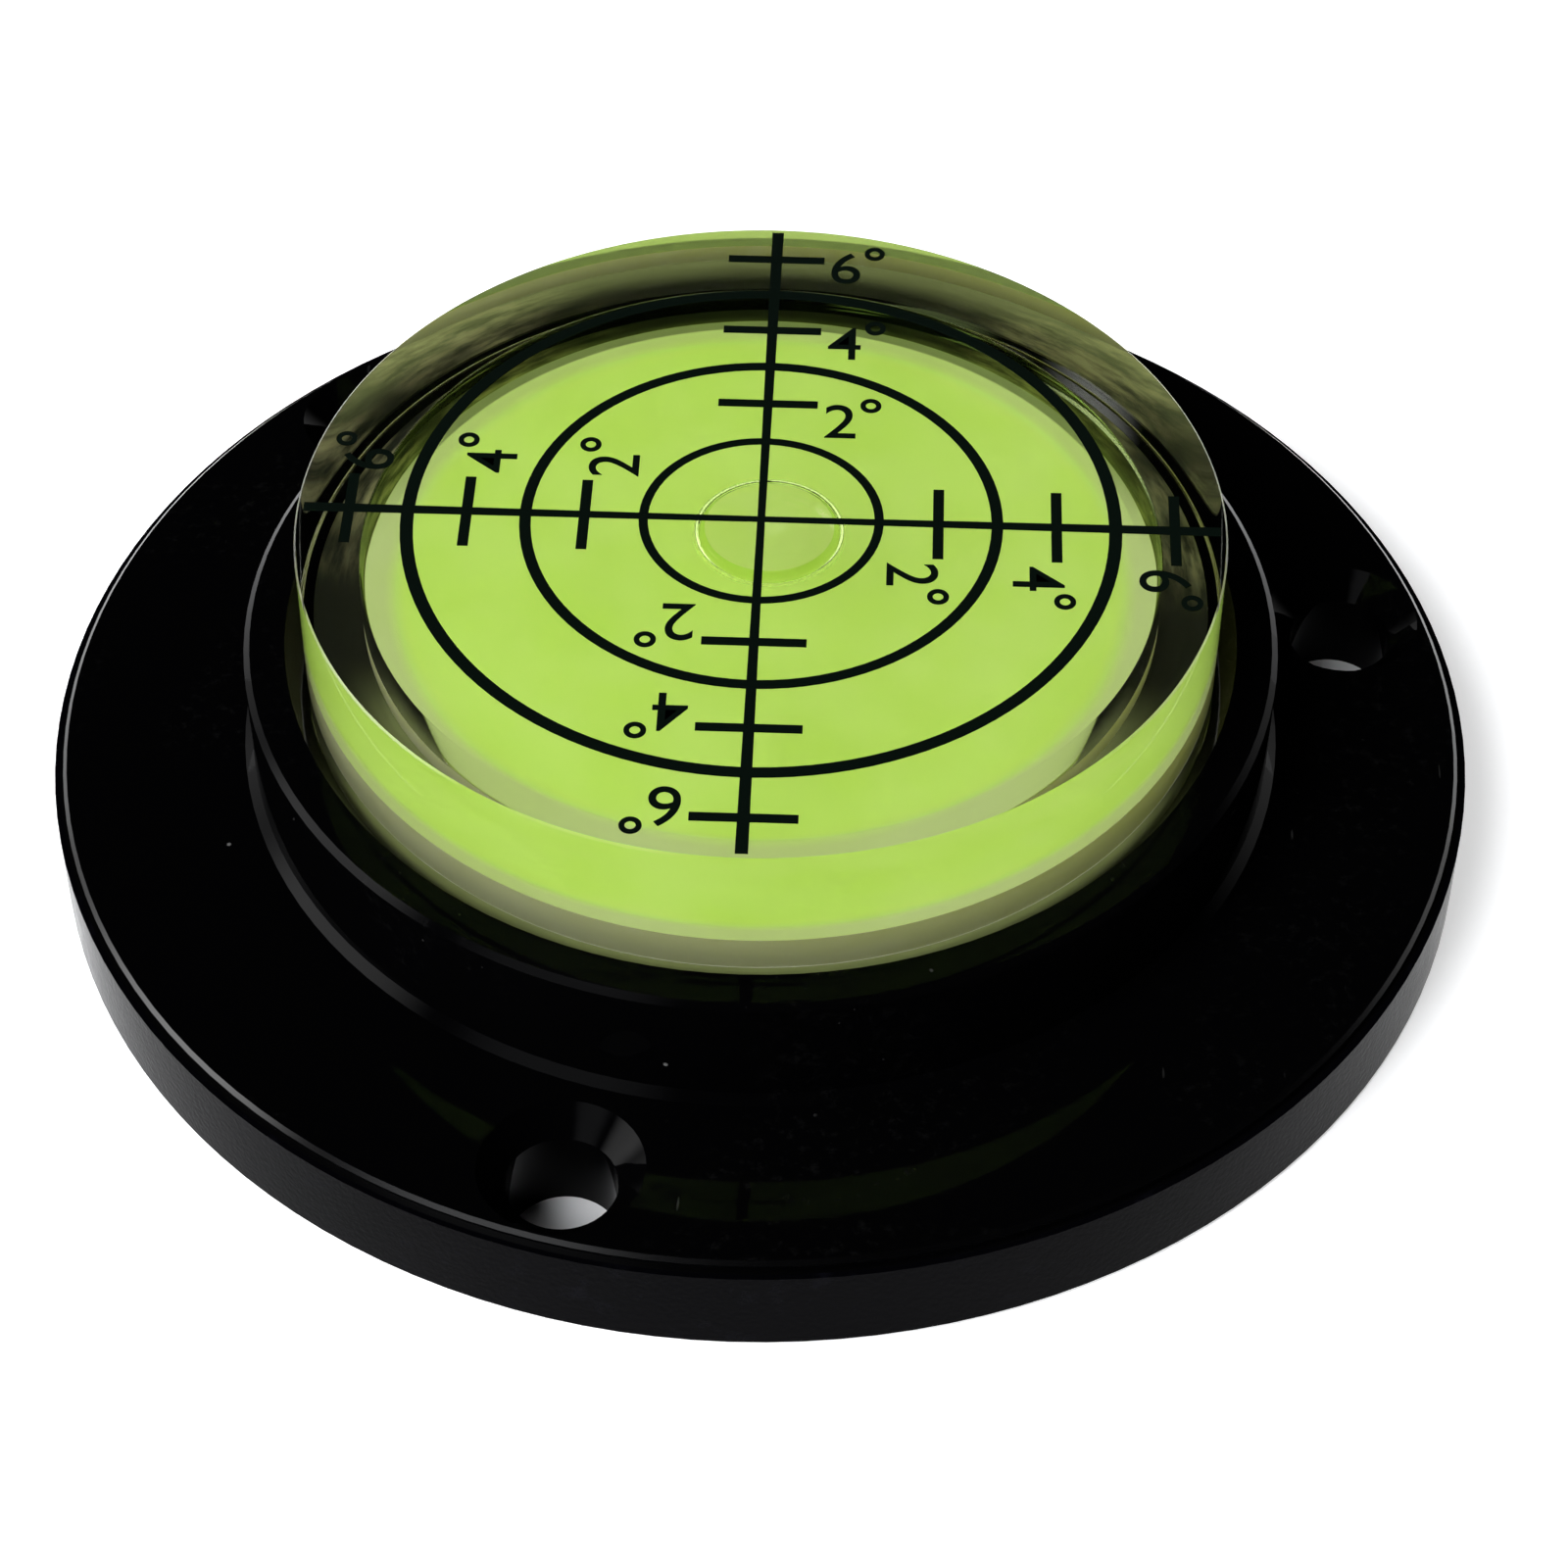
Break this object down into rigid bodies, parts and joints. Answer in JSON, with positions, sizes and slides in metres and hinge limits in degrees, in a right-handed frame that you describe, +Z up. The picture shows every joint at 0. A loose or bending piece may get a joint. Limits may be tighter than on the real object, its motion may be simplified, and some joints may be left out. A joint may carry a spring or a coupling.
{
  "type": "bullseye level",
  "caption": "Surface-mount bullseye level: clear round vial of green liquid under a ringed degree dial, seated on the boss of a black screw-down flange.",
  "frame": {"origin": "bottom centre of the mounting base, on the surface that it is screwed to", "axes": "+Z up through the middle of the dial, +X and +Y along two arms of the dial's cross"},
  "size_m": [0.0946, 0.0946, 0.0247],
  "materials": {
    "base_plastic": "moulded black plastic, mirror gloss on top, fine matt grain round the edge",
    "clear_acrylic": "clear polished acrylic",
    "white_floor": "white matt acrylic",
    "plug_rubber": "pale soft rubber",
    "green_liquid": "clear lime-green dyed liquid",
    "clear_bond": "cured clear adhesive, dark over the black base",
    "black_ink": "black screen-printing ink"
  },
  "bodies": {
    "root": {"mounting_base": "base_plastic", "vial_body": "clear_acrylic", "vial_floor": "white_floor", "filler_plug": "plug_rubber", "level_liquid": "green_liquid", "adhesive_pad": "clear_bond", "dial_print": "black_ink"}
  },
  "joints": []
}
